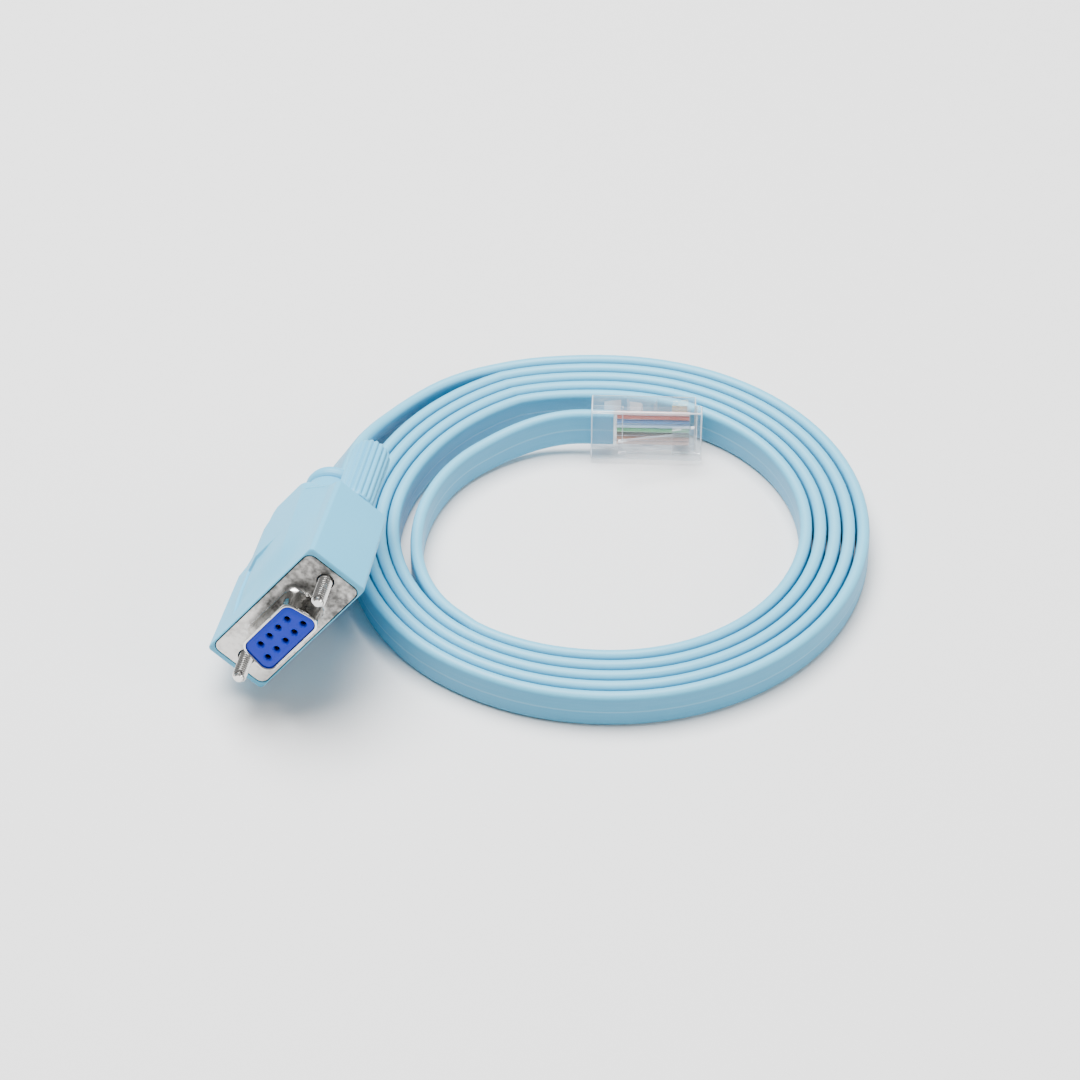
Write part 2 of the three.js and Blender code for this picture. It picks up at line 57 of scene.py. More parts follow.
# %% Units and the coil's own frame
MM = 0.001
coil_middle = Vector(((coil_low.x + coil_high.x) / 2, (coil_low.y + coil_high.y) / 2, coil_low.z))
COIL_FRAME = Matrix.Translation(coil_middle) @ Matrix.Scale(MM, 4)
CABLE_WIDTH = 8.0
CABLE_THICKNESS = 2.5
COIL_RADIUS = 51.7
COIL_BORE = 37.6
print("the coil's middle is at", [round(value, 4) for value in coil_middle])

# %% [markdown]
# A long lens at 0.8 m keeps the connectors almost free of perspective, as a product photograph
# does.

# %% Camera
CAMERA_PLACE = Vector((-14.6, -592.2, 537.8))
CAMERA_ELEVATION = math.radians(42.15)
lens = bpy.data.cameras.new("product_camera")
lens.lens = 131.7
lens.sensor_width = 36.0
lens.clip_start = 0.05
lens.clip_end = 20.0
camera = bpy.data.objects.new("product_camera", lens)
camera.location = COIL_FRAME @ CAMERA_PLACE
camera.rotation_euler = (math.pi / 2 - CAMERA_ELEVATION, 0.0, 0.0)
bpy.context.scene.collection.objects.link(camera)
bpy.context.scene.camera = camera
print("the camera stands at", [round(value, 3) for value in camera.location])

# %% [markdown]
# The socket's frame has x across its face, y from the face back along the hood, and z out of the
# hood's broad side. The plug's frame has x from the cable to its nose and z along its width. Both
# lie on the table the way a hand would drop them: turned, dipped and rolled a little.

# %% Frames of the two connectors
HOOD_ENTRY_ANGLE = math.radians(177.3)
HOOD_ENTRY_RADIUS = COIL_RADIUS + 4.16
HOOD_ENTRY = Vector((
    HOOD_ENTRY_RADIUS * math.cos(HOOD_ENTRY_ANGLE),
    HOOD_ENTRY_RADIUS * math.sin(HOOD_ENTRY_ANGLE),
    13.6,
))
HOOD_LENGTH = 47.0
PLUG_ENTRY = Vector((-4.0, 30.007, 6.25))


def laid(heading, dip, roll):
    return (
        Matrix.Rotation(math.radians(heading), 4, "Z")
        @ Matrix.Rotation(math.radians(dip), 4, "X")
        @ Matrix.Rotation(math.radians(roll), 4, "Y")
    )


SOCKET_TURN = laid(-9.1, -8.4, -51.4)
PLUG_TURN = laid(-2.0, -8.0, 0.0)
SOCKET_FRAME = (
    COIL_FRAME
    @ Matrix.Translation(HOOD_ENTRY)
    @ SOCKET_TURN
    @ Matrix.Translation((0.0, -HOOD_LENGTH, 0.0))
)
PLUG_FRAME = COIL_FRAME @ Matrix.Translation(PLUG_ENTRY) @ PLUG_TURN
print("the socket's face is at", [round(v, 4) for v in SOCKET_FRAME @ Vector((0, 0, 0))])

# %% [markdown]
# Materials are small graphs of nodes. Writing their arithmetic as Python expressions keeps them
# readable, so one class wraps a socket and adds a Math node for each operator used on it.

# %% Shader arithmetic
class Signal:
    def __init__(self, tree, socket):
        self.tree = tree
        self.socket = socket

    def maths(self, operation, first, second=None):
        node = self.tree.nodes.new("ShaderNodeMath")
        node.operation = operation
        for socket, value in zip(node.inputs, (first, second)):
            if value is not None:
                join(self.tree, socket, value)
        return Signal(self.tree, node.outputs[0])

    def __add__(self, other):
        return self.maths("ADD", self, other)

    def __sub__(self, other):
        return self.maths("SUBTRACT", self, other)

    def __rsub__(self, other):
        return self.maths("SUBTRACT", other, self)

    def __mul__(self, other):
        return self.maths("MULTIPLY", self, other)

    def __truediv__(self, other):
        return self.maths("DIVIDE", self, other)

    def __abs__(self):
        return self.maths("ABSOLUTE", self)

    __radd__ = __add__
    __rmul__ = __mul__


def join(tree, socket, value):
    if isinstance(value, Signal):
        tree.links.new(value.socket, socket)
    else:
        socket.default_value = value


# %% [markdown]
# Every other node comes from one method. Settings such as a noise's dimensions go in first,
# because some of them change which sockets the node has.

# %% The finish: a material under construction
class Finish:
    def __init__(self, name):
        self.material = bpy.data.materials.new(name)
        self.material.use_nodes = True
        self.tree = self.material.node_tree
        self.tree.nodes.clear()

    def node(self, kind, settings=None, sockets=None, output=0):
        made = self.tree.nodes.new("ShaderNode" + kind)
        for name, value in (settings or {}).items():
            if name == "stops":
                self.set_stops(made.color_ramp, value)
            else:
                setattr(made, name, value)
        for name, value in (sockets or {}).items():
            join(self.tree, made.inputs[name], value)
        return Signal(self.tree, made.outputs[output])

    def set_stops(self, ramp, stops):
        while len(ramp.elements) < len(stops):
            ramp.elements.new(0.5)
        for element, (place, colour) in zip(ramp.elements, stops):
            element.position = place
            element.color = colour

    def place(self, stretch=(1.0, 1.0, 1.0)):
        coordinates = self.node("TexCoord", output="Object")
        return self.node("Mapping", {}, {"Vector": coordinates, "Scale": stretch})

    def noise(self, size_mm, detail=3.0, stretch=(1.0, 1.0, 1.0)):
        sockets = {"Vector": self.place(stretch), "Scale": 1.0 / (size_mm * MM), "Detail": detail}
        return self.node("TexNoise", {"noise_dimensions": "3D"}, sockets, "Fac")

    def steps(self, value, low, high, new_low=0.0, new_high=1.0):
        sockets = {0: value, 1: low, 2: high, 3: new_low, 4: new_high}
        return self.node("MapRange", {"interpolation_type": "SMOOTHSTEP"}, sockets)

    def blend(self, share, first, second):
        sockets = {"Factor": share, 6: first, 7: second}
        return self.node("Mix", {"data_type": "RGBA"}, sockets, 2)

    def bump(self, height, depth_mm, strength=1.0):
        sockets = {"Height": height, "Distance": depth_mm * MM, "Strength": strength}
        return self.node("Bump", {}, sockets)

    def done(self, shader_sockets):
        shader = self.node("BsdfPrincipled", {}, shader_sockets)
        output = self.tree.nodes.new("ShaderNodeOutputMaterial")
        join(self.tree, output.inputs["Surface"], shader)
        return self.material


print("shader helpers ready")

# %% [markdown]
# The jacket is soft vinyl with a satin skin. The tool that extrudes it leaves faint lines along
# the cable and a thin raised seam down the middle of each broad face, so the pattern has to follow
# the cable round the coil. Two numbers kept on the cable's own points, how far along and how far
# across they lie, make that possible without any image. The photograph shows the round edges paler
# than the faces. Much of that is its light, which a pale floor evens out here, so the finish itself
# is made a little paler along the edges. That is a choice for the look, not something measured.

# %% Jacket finish
def jacket_finish():
    finish = Finish("blue_jacket_vinyl")
    across = finish.node("Attribute", {"attribute_name": "across"}, {}, "Fac")
    along = finish.node("Attribute", {"attribute_name": "along"}, {}, "Fac")
    streaks = finish.node(
        "TexNoise",
        {"noise_dimensions": "2D"},
        {
            "Vector": finish.node("CombineXYZ", {}, {"X": across * 3.2, "Y": along * 0.05}),
            "Scale": 1.0,
            "Detail": 4.0,
        },
        "Fac",
    )
    clouds = finish.noise(26.0, 2.0)
    seam = 1.0 - finish.steps(abs(across), 0.10, 0.28)
    face = finish.blend(clouds, (0.046, 0.290, 0.480, 1.0), (0.056, 0.315, 0.510, 1.0))
    # Painted highlight and painted shade: the round edges are made paler and the broad faces darker, for the light on
    # the edges and the shade between the turns.
    edge = finish.steps(abs(across), 2.9, 3.7)
    base = finish.blend(edge, face, (0.125, 0.480, 0.680, 1.0))
    streaked = finish.blend(streaks * 0.35, base, (0.11, 0.42, 0.60, 1.0))
    colour = finish.blend(seam * 0.3, streaked, (0.26, 0.58, 0.72, 1.0))
    roughness = finish.steps(clouds, 0.3, 0.7, 0.40, 0.50)
    relief = streaks * 0.35 + seam * 0.5
    return finish.done({
        "Base Color": colour,
        "Roughness": roughness,
        "Specular IOR Level": 0.45,
        "Normal": finish.bump(relief, 0.06),
    })


jacket_vinyl = jacket_finish()
print("finish:", jacket_vinyl.name)

# %% [markdown]
# The moulded hood is a thicker casting of the same vinyl. It is a little paler and duller than
# the jacket, with the fine grain of a spark-eroded mould and slow waves where it shrank.

# %% Hood finish
def hood_finish():
    finish = Finish("blue_hood_vinyl")
    grain = finish.noise(0.35, 2.0)
    waves = finish.noise(9.0, 1.0)
    clouds = finish.noise(18.0, 3.0)
    colour = finish.blend(clouds, (0.082, 0.410, 0.625, 1.0), (0.100, 0.440, 0.655, 1.0))
    relief = grain * 0.25 + waves
    return finish.done({
        "Base Color": colour,
        "Roughness": finish.steps(grain, 0.2, 0.8, 0.44, 0.54),
        "Specular IOR Level": 0.45,
        "Normal": finish.bump(relief, 0.05),
    })


hood_vinyl = hood_finish()
print("finish:", hood_vinyl.name)

# %% [markdown]
# The flange in the photograph is mottled, with brighter and duller patches, and the tube in front of it is smoother and
# brighter. Its upper end is also much darker, which is taken as a reflection of the room. That darkness is put into the
# finish as a painted reflection, a guess, since this studio has nothing dark to reflect.
# Numbers kept on the shell's points say how far ahead of the flange and how far to the side each
# one lies.

# %% Shell finish
def shell_finish():
    finish = Finish("mottled_nickel_plate")
    mottle = finish.noise(1.0, 6.0)
    patches = finish.noise(4.5, 2.0)
    dents = finish.noise(2.2, 2.0)
    ahead = finish.node("Attribute", {"attribute_name": "ahead"}, {}, "Fac")
    drawn = finish.steps(ahead, 0.1, 1.2)
    side = finish.node("Attribute", {"attribute_name": "side"}, {}, "Fac")
    # Painted reflection: the plating darkens towards one side, for a dark room reflected in it. The mottle and patches
    # are the plating's own duller spots.
    painted_dark_reflection = finish.steps(side, -9.0, 9.0, -0.25, 0.10)
    dullness_and_painted_reflection = finish.steps(mottle * 0.8 + patches * 0.7 + painted_dark_reflection, 0.40, 1.08)
    flange = finish.blend(dullness_and_painted_reflection, (0.64, 0.625, 0.60, 1.0), (0.085, 0.083, 0.08, 1.0))
    return finish.done({
        "Base Color": finish.blend(drawn, flange, (0.80, 0.79, 0.77, 1.0)),
        "Metallic": 1.0,
        "Roughness": finish.steps(drawn + mottle * 0.3, 0.1, 1.0, 0.32, 0.09),
        "Normal": finish.bump(mottle * 0.4 + dents, 0.06),
    })


shell_nickel = shell_finish()
print("finish:", shell_nickel.name)

# %% [markdown]
# The screws and the contacts are turned parts, with an even plating that is only lightly clouded.
# Little light reaches the roots of a screw's thread, which a number kept on its points tells.

# %% Plated finishes
def plated_finish(name, bright, dull, rough_low, rough_high, mottle_mm, dent_mm):
    finish = Finish(name)
    mottle = finish.noise(mottle_mm, 4.0)
    dents = finish.noise(2.2, 2.0)
    patch = finish.steps(mottle, 0.38, 0.62)
    return finish.done({
        "Base Color": finish.blend(patch, bright, dull),
        "Metallic": 1.0,
        "Roughness": finish.steps(mottle, 0.35, 0.68, rough_low, rough_high),
        "Normal": finish.bump(mottle * 0.3 + dents, dent_mm),
    })




def screw_finish():
    finish = Finish("bright_screw_plate")
    mottle = finish.noise(0.8, 4.0)
    root = finish.node("Attribute", {"attribute_name": "root"}, {}, "Fac")
    shaded = finish.steps(root, 0.12, 0.38)
    plate = finish.blend(mottle, (0.84, 0.83, 0.81, 1.0), (0.66, 0.65, 0.63, 1.0))
    return finish.done({
        "Base Color": finish.blend(shaded, plate, (0.10, 0.098, 0.095, 1.0)),
        "Metallic": 1.0,
        "Roughness": finish.steps(shaded + mottle * 0.3, 0.1, 1.1, 0.16, 0.4),
        "Normal": finish.bump(mottle, 0.01),
    })


screw_steel = screw_finish()
contact_gold = plated_finish(
    "gold_contact_plate", (0.90, 0.66, 0.28, 1.0), (0.74, 0.50, 0.18, 1.0), 0.14, 0.28, 0.9, 0.005
)
print("finishes:", screw_steel.name, contact_gold.name)

# %% [markdown]
# The insulator is a hard glass-filled plastic in a strong blue. Its moulded face is fairly dull,
# with a fine grain, so the contact holes read as dark wells.

# %% Insulator finish
def insulator_finish():
    finish = Finish("royal_blue_insulator")
    grain = finish.noise(0.22, 3.0)
    clouds = finish.noise(5.0, 2.0)
    colour = finish.blend(clouds, (0.000, 0.020, 0.440, 1.0), (0.001, 0.030, 0.540, 1.0))
    return finish.done({
        "Base Color": colour,
        "Roughness": finish.steps(grain, 0.2, 0.8, 0.42, 0.54),
        "Specular IOR Level": 0.3,
        "Normal": finish.bump(grain, 0.02),
    })


insulator_plastic = insulator_finish()
print("finish:", insulator_plastic.name)

# %% [markdown]
# The plug is clear polycarbonate. Nearly all that is seen through a flat wall comes straight through, so that the wires
# are lit and keep their colours. Light gathers in the rounded rims and the slanted ribs, which look white, so a number
# kept on the faces paints those ones whiter and less clear, a painted highlight for that light, and a glancing look at
# a wall shows more of its gloss.

# %% Clear plastic finish
def clear_finish():
    finish = Finish("clear_plug_plastic")
    waves = finish.noise(3.0, 1.0)
    haze = finish.noise(1.2, 3.0)
    # Painted highlight: faces marked as rims are made whiter and less clear, for the light that gathers there.
    rim = finish.node("Attribute", {"attribute_name": "rim"}, {}, "Fac")
    glancing = finish.node("LayerWeight", {}, {"Blend": 0.4}, "Facing")
    return finish.done({
        "Base Color": finish.blend(rim, (0.56, 0.68, 0.78, 1.0), (0.95, 0.97, 1.0, 1.0)),
        "Roughness": finish.steps(haze, 0.3, 0.7, 0.05, 0.12),
        "Transmission Weight": 0.5,
        "IOR": 1.55,
        "Alpha": finish.steps(rim + glancing * 0.5 + haze * 0.1, 0.1, 1.0, 0.12, 0.85),
        "Normal": finish.bump(waves, 0.02),
    })


clear_plastic = clear_finish()
print("finish:", clear_plastic.name)

# %% [markdown]
# Each wire has a thin coloured insulation. A long noise along the wire makes the slight streaks of
# extruded colour, and one function serves all eight colours.

# %% Wire finishes
def wire_finish(name, colour):
    finish = Finish(name)
    streaks = finish.noise(0.8, 3.0, (0.1, 1.0, 1.0))
    paler = tuple(0.75 * part + 0.25 for part in colour[:3]) + (1.0,)
    return finish.done({
        "Base Color": finish.blend(streaks * 0.5, colour, paler),
        "Roughness": finish.steps(streaks, 0.3, 0.7, 0.34, 0.46),
        "Normal": finish.bump(streaks, 0.01),
    })


WIRE_COLOURS = [
    ("white", (0.80, 0.50, 0.47, 1.0)),
    ("orange", (0.62, 0.09, 0.03, 1.0)),
    ("blue", (0.02, 0.20, 0.52, 1.0)),
    ("light", (0.45, 0.66, 0.84, 1.0)),
    ("green", (0.08, 0.46, 0.12, 1.0)),
    ("dark", (0.10, 0.045, 0.03, 1.0)),
    ("brown", (0.52, 0.15, 0.03, 1.0)),
    ("pink", (0.80, 0.46, 0.34, 1.0)),
]
wire_finishes = [wire_finish(name + "_wire", colour) for name, colour in WIRE_COLOURS]
print("finishes:", [finish.name for finish in wire_finishes])

# %% [markdown]
# Pieces are modelled with bmesh, lying straight in their connector's own frame. One helper turns a
# finished bmesh into an object: it takes the shape to its place, makes the normals agree, marks the
# sharp edges and says which body the piece rides on.

# %% Turning a bmesh into a piece
def become_piece(shape, name, place, finish, body, sharp_degrees=35.0):
    shape.transform(place)
    bmesh.ops.recalc_face_normals(shape, faces=shape.faces)
    mesh = bpy.data.meshes.new(name)
    shape.to_mesh(mesh)
    shape.free()
    for face in mesh.polygons:
        face.use_smooth = True
    mesh.set_sharp_from_angle(angle=math.radians(sharp_degrees))
    mesh.materials.append(finish)
    piece = bpy.data.objects.new(name, mesh)
    bpy.context.scene.collection.objects.link(piece)
    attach(piece, body)
    print(name, "has", len(mesh.polygons), "faces")
    return piece


# %% [markdown]
# Most moulded and pressed shapes here are a row of outlines with skin between them. The helper
# makes the first outline from a few points, extrudes its edges once for each further outline, and
# moves every new point to its seat, which it knows from a number that extruding copies along.

# %% Skinning a row of outlines
def skin(shape, outlines, ends="capped"):
    seat = shape.verts.layers.int.get("seat") or shape.verts.layers.int.new("seat")
    first = [shape.verts.new(point) for point in outlines[0]]
    for number, corner in enumerate(first):
        corner[seat] = number
    rim = [shape.edges.new((first[number - 1], first[number])) for number in range(len(first))]
    start_rim = rim
    for outline in outlines[1:]:
        made = bmesh.ops.extrude_edge_only(shape, edges=rim)["geom"]
        corners = {part for part in made if isinstance(part, bmesh.types.BMVert)}
        edges = [part for part in made if isinstance(part, bmesh.types.BMEdge)]
        rim = [edge for edge in edges if corners.issuperset(edge.verts)]
        for corner in corners:
            corner.co = outline[corner[seat]]
    if ends == "capped":
        bmesh.ops.contextual_create(shape, geom=start_rim)
        bmesh.ops.contextual_create(shape, geom=rim)
    if ends == "joined":
        bmesh.ops.bridge_loops(shape, edges=start_rim + rim)
    return shape


# %% [markdown]
# The cable is the main thing that the eye sees. It is one flat cable, so it is one tube with a
# flat section that follows one long path: out of the hood, down to the table, five turns round the
# coil and into the plug. A table of places round the coil says how far out each stretch lies.

# %% The path: how the turns lie
LEAD_END_ANGLE = 116.6
TURN_PITCH = 2.86
HOOD_LEAD = [
    (172.6, 3.87, 12.9),
    (166.2, 3.9, 11.3),
    (159.5, 4.1, 9.1),
    (152.8, 4.25, 6.9),
    (145.7, 4.2, 5.1),
    (137.9, 3.95, 4.25),
    (129.8, 3.45, 4.1),
    (123.0, 2.7, 4.05),
]
OUTER_TURN = [
    (0.0, 53.5), (16.0, 51.5), (26.0, 50.8), (42.0, 50.45), (116.6, 50.45), (206.6, 50.6),
    (232.0, 51.3), (258.0, 52.3), (290.0, 52.2), (325.0, 51.2), (360.0, 53.5 - TURN_PITCH),
]
PITCH_ROUND = [(0.0, TURN_PITCH), (215.0, TURN_PITCH), (250.0, 2.66), (290.0, 2.66), (340.0, TURN_PITCH), (360.0, TURN_PITCH)]
PLUG_LEAD = [
    (224.0, 41.3, 4.0),
    (215.0, 41.6, 4.0),
    (206.0, 41.3, 4.0),
    (198.0, 40.7, 4.0),
    (190.0, 39.9, 4.0),
    (180.0, 38.9, 4.0),
    (165.0, 37.55, 4.0),
    (155.0, 36.7, 4.0),
    (146.1, 35.8, 4.05),
    (136.5, 34.7, 4.2),
    (126.4, 33.68, 4.7),
    (116.5, 32.7, 5.3),
    (106.6, 31.4, 6.0),
]
print("the outer turn's centre line swings from", min(r for _, r in OUTER_TURN), "mm")


# %% [markdown]
# Between two rows of the table the value runs along a smooth cubic, so the cable has no corners.

# %% Smooth steps between the rows of a table
def slope(table, row):
    before = table[max(row - 1, 0)]
    after = table[min(row + 1, len(table) - 1)]
    return (after[1] - before[1]) / (after[0] - before[0])


def between(table, place):
    row = max(i for i in range(len(table) - 1) if table[i][0] <= place or i == 0)
    (x0, y0), (x1, y1) = table[row][:2], table[row + 1][:2]
    span = x1 - x0
    share = (place - x0) / span
    pull = span * (slope(table, row) * (1 - share) - slope(table, row + 1) * share)
    return y0 + (y1 - y0) * share * share * (3 - 2 * share) + share * (1 - share) * pull


# %% The path: every point, with the way the cable's width points
def round_coil(angle, radius, height):
    turn = math.radians(angle)
    return Vector((radius * math.cos(turn), radius * math.sin(turn), height))


def cable_path():
    socket_back = SOCKET_TURN @ Vector((0.0, 1.0, 0.0))
    plug_forward = PLUG_TURN @ Vector((1.0, 0.0, 0.0))
    entry_travel = LEAD_END_ANGLE - 177.3
    lead = [(entry_travel, HOOD_ENTRY_RADIUS, HOOD_ENTRY.z)]
    lead += [(LEAD_END_ANGLE - a, COIL_RADIUS + out, z) for a, out, z in HOOD_LEAD]
    lead += [(0.0, OUTER_TURN[0][1], 4.0), (16.0, OUTER_TURN[1][1], 4.0)]
    lead_radius = [(travel, radius) for travel, radius, _ in lead]
    lead_height = [(travel, height) for travel, _, height in lead]
    points = [HOOD_ENTRY - 3.0 * socket_back, HOOD_ENTRY]
    travel = entry_travel + 3.0
    while travel < 0.0:
        spot = LEAD_END_ANGLE - travel, between(lead_radius, travel), between(lead_height, travel)
        points.append(round_coil(*spot))
        travel += 3.0
    travel = 0.0
    last_turn = 360.0 * 4 + LEAD_END_ANGLE - PLUG_LEAD[0][0] + 360.0
    while travel < last_turn - 4.0:
        turn, rest = divmod(travel, 360.0)
        radius = between(OUTER_TURN, rest) - turn * between(PITCH_ROUND, rest)
        points.append(round_coil(LEAD_END_ANGLE - travel, radius, 4.0))
        travel += 4.0
    tail = [(-angle, radius) for angle, radius, _ in PLUG_LEAD]
    tail_height = [(-angle, height) for angle, _, height in PLUG_LEAD]
    tail.append((-97.5, PLUG_ENTRY.xy.length))
    tail_height.append((-97.5, PLUG_ENTRY.z))
    place = -PLUG_LEAD[0][0]
    while place < -100.0:
        points.append(round_coil(-place, between(tail, place), between(tail_height, place)))
        place += 3.0
    return points + [PLUG_ENTRY.copy(), PLUG_ENTRY + 4.6 * plug_forward]


cable_points = cable_path()
cable_length = sum((b - a).length for a, b in zip(cable_points, cable_points[1:])) * MM
print("the cable is", round(cable_length, 3), "m long, in", len(cable_points), "points")

# %% [markdown]
# The section is a flat strip with round edges. At the hood its width follows the hood's broad way,
# along the coil it stands upright, and at the plug it leans with the plug.

# %% The cable's section, and its turn at each point
EDGE_STEPS = 8


def cable_section():
    radius = CABLE_THICKNESS / 2
    shoulder = CABLE_WIDTH / 2 - radius
    outline = []
    for side in (1.0, -1.0):
        for step in range(EDGE_STEPS + 1):
            angle = math.pi * step / EDGE_STEPS
            outline.append((side * (shoulder + radius * math.sin(angle)), side * radius * math.cos(angle)))
        for place in (1.6, 0.5, 0.0, -0.5, -1.6):
            outline.append((side * place, -side * radius))
    return outline


def eased(share):
    share = min(max(share, 0.0), 1.0)
    return share * share * (3 - 2 * share)


def width_at(number):
    upright = Vector((0.0, 0.0, 1.0))
    socket_across = SOCKET_TURN @ Vector((1.0, 0.0, 0.0))
    plug_across = PLUG_TURN @ Vector((0.0, 0.0, 1.0))
    from_hood = eased((number - 1) / 19.0)
    to_plug = eased((number - (len(cable_points) - 22)) / 20.0)
    return socket_across.lerp(upright, from_hood).lerp(plug_across, to_plug)


def section_frame(number):
    here = cable_points[number]
    before = cable_points[max(number - 1, 0)]
    after = cable_points[min(number + 1, len(cable_points) - 1)]
    forward = (after - before).normalized()
    out = forward.cross(width_at(number)).normalized()
    across = out.cross(forward)
    turn = Matrix((across, out, forward)).transposed().to_4x4()
    return Matrix.Translation(here) @ turn


print("the section has", len(cable_section()), "corners")

# %% The cable itself, with its own coordinates along and across
def flat_cable():
    shape = bmesh.new()
    across = shape.verts.layers.float.new("across")
    along = shape.verts.layers.float.new("along")
    section = cable_section()
    outlines = []
    for number in range(len(cable_points)):
        stand = section_frame(number)
        outlines.append([stand @ Vector((u, v, 0.0)) for u, v in section])
    skin(shape, outlines)
    seat = shape.verts.layers.int["seat"]
    shape.verts.ensure_lookup_table()
    travelled = [0.0]
    for a, b in zip(cable_points, cable_points[1:]):
        travelled.append(travelled[-1] + (b - a).length)
    for number, corner in enumerate(shape.verts):
        corner[across] = section[corner[seat]][0]
        corner[along] = travelled[number // len(section)]
    return become_piece(
        shape, "flat_cable", COIL_FRAME, jacket_vinyl, "cable", sharp_degrees=80.0
    )


cable_piece = flat_cable()
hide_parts("cable_coil", "cable_hood_lead", "cable_plug_lead")

# %% [markdown]
# The hood is a soft casting. Seen along its length it is a flat block with a raised back down the
# middle, and it narrows in two slanted shoulders to a tail. A row of outlines describes it well:
# each is half of a section, mirrored, and a few smooth functions give its width and its heights.
# Both broad sides have a shallow sunk panel on the left, whose end wall shows as a fine dark line.
# The underside is the top turned half round, so only the top is worked out.

# %% Hood sizes
HOOD_HALF = 16.6
RIM_HEIGHT = 6.7
SHOULDER_HEIGHT = 6.3
SHOULDER_START = 24.6
TAIL_START = 31.0
TAIL_END = 34.5
TAIL_HALF = 7.3
CREST_HALF = 5.8
PANEL_HALF = 9.6
PANEL_EDGE = 0.4
PANEL_DEPTH = 0.6
PANEL_END = 19.0


def hood_half_width(y):
    if y <= SHOULDER_START:
        return HOOD_HALF
    if y <= TAIL_START:
        return HOOD_HALF + (TAIL_HALF - HOOD_HALF) * (y - SHOULDER_START) / (TAIL_START - SHOULDER_START)
    share = (y - TAIL_START) / (TAIL_END - TAIL_START)
    return TAIL_HALF - 1.6 * (1 - math.sqrt(max(1 - share * share, 0.0)))


def hump_foot(y):
    return 13.2 - 0.7 * eased(y / 26.0)


def hood_height(x, y):
    side = RIM_HEIGHT + (SHOULDER_HEIGHT - RIM_HEIGHT) * min(y / SHOULDER_START, 1.0)
    crest = RIM_HEIGHT + 1.5 * eased((y - 1.0) / 11.0) + 0.3 * eased((y - 12.0) / 20.0)
    foot = hump_foot(y)
    hump = 1 - min(max((abs(x) - CREST_HALF) / (foot - CREST_HALF), 0.0), 1.0)
    inside = eased((x + PANEL_HALF) / PANEL_EDGE) * eased((1.6 - x) / 7.0)
    panel = inside * eased((PANEL_END - y) / PANEL_EDGE) * eased((y - 3.0) / 5.0)
    return side + (crest - side) * hump - PANEL_DEPTH * panel


print("the hood is", round(2 * hood_height(0.0, 30.0), 1), "mm thick at its tail")

# %% Hood outlines
HOOD_SAMPLES = [0.0, 2.0, 4.0, 5.2, CREST_HALF, 6.6, 7.6, 8.6, 9.2, 9.4, PANEL_HALF]
CORNER_STEPS = 9


def hood_columns(y, reach):
    foot = hump_foot(y)
    columns = HOOD_SAMPLES + [foot, foot + 0.8, foot + 1.6, 15.3]
    crest = min(CREST_HALF, 0.85 * reach)
    spread = (reach - crest) / (columns[-1] - CREST_HALF)
    return [
        x * crest / CREST_HALF if x <= CREST_HALF else crest + (x - CREST_HALF) * spread for x in columns
    ]


def hood_outline(y, shrink=0.0):
    half = hood_half_width(y) - shrink
    radius = 0.9 + 1.8 * eased((y - 24.0) / 8.0)
    reach = half - radius
    columns = hood_columns(y, reach)
    crossing = [-x for x in reversed(columns[1:])] + columns
    top = [(x, hood_height(x, y) - shrink) for x in crossing]
    edge = top[-1][1]
    for step in range(CORNER_STEPS):
        angle = (step + 1) / CORNER_STEPS * math.pi / 2
        corner = reach + radius * math.sin(angle), edge - radius * (1 - math.cos(angle))
        top.append(corner)
        top.insert(0, (-corner[0], corner[1]))
    return [Vector((x, y, z)) for x, z in top + [(-x, -z) for x, z in top]]


hood_rows = [0.0, 0.25, 0.6, 1.0, 1.6, 2.6, 3.0, 4.0, 5.0, 6.0, 7.0, 8.0, 9.0, 11.0, 13.0, 15.0]
hood_rows += [17.0, 18.0, 18.6, 18.7, 18.8, 18.9, 19.0, 19.6, 21.0, 23.0, 24.6, 25.0, 26.0, 27.0, 28.0, 29.0, 30.0, 31.0, 32.0]
hood_rows += [33.0, 33.6, 34.0, 34.3]
print(len(hood_rows), "outlines of", len(hood_outline(0.0)), "points")

# %% [markdown]
# The neck and its collar are round, so they are spun from a short profile. The collar is a bead
# behind a groove, which is what lets the hood bend a little where the cable leaves it.

# %% Spinning a profile round an axis along y
def spun(shape, profile, steps=48, centre=(0.0, 0.0)):
    corners = [shape.verts.new((centre[0] + radius, y, centre[1])) for radius, y in profile]
    edges = [shape.edges.new(pair) for pair in zip(corners, corners[1:])]
    bmesh.ops.spin(
        shape,
        geom=corners + edges,
        cent=(centre[0], 0.0, centre[1]),
        axis=(0.0, 1.0, 0.0),
        angle=2 * math.pi,
        steps=steps,
        use_merge=True,
    )
    bmesh.ops.remove_doubles(shape, verts=shape.verts, dist=0.0005)
    return shape


def arc(radius, centre_radius, centre_y, start, stop, steps):
    turns = [math.radians(start + (stop - start) * step / steps) for step in range(steps + 1)]
    return [(centre_radius + radius * math.cos(a), centre_y + radius * math.sin(a)) for a in turns]


NECK_PROFILE = (
    [(0.0, 30.0), (5.5, 30.0), (5.5, 38.0), (5.4, 42.6)]
    + arc(0.5, 4.9, 42.6, 0.0, 90.0, 3)
    + [(4.5, 43.2), (4.5, 43.8)]
    + arc(1.6, 4.1, 45.4, -75.0, 90.0, 10)
    + [(0.0, 47.0)]
)
print("the neck's profile has", len(NECK_PROFILE), "points")

# %% [markdown]
# Pockets, seats and holes are cut with Boolean modifiers, whose result is then kept as the mesh.
# The cutter is an ordinary object made for the purpose and thrown away afterwards.

# %% Cutting one bmesh from another
def scratch_object(shape, name):
    bmesh.ops.recalc_face_normals(shape, faces=shape.faces)
    mesh = bpy.data.meshes.new(name)
    shape.to_mesh(mesh)
    shape.free()
    made = bpy.data.objects.new(name, mesh)
    bpy.context.scene.collection.objects.link(made)
    return made


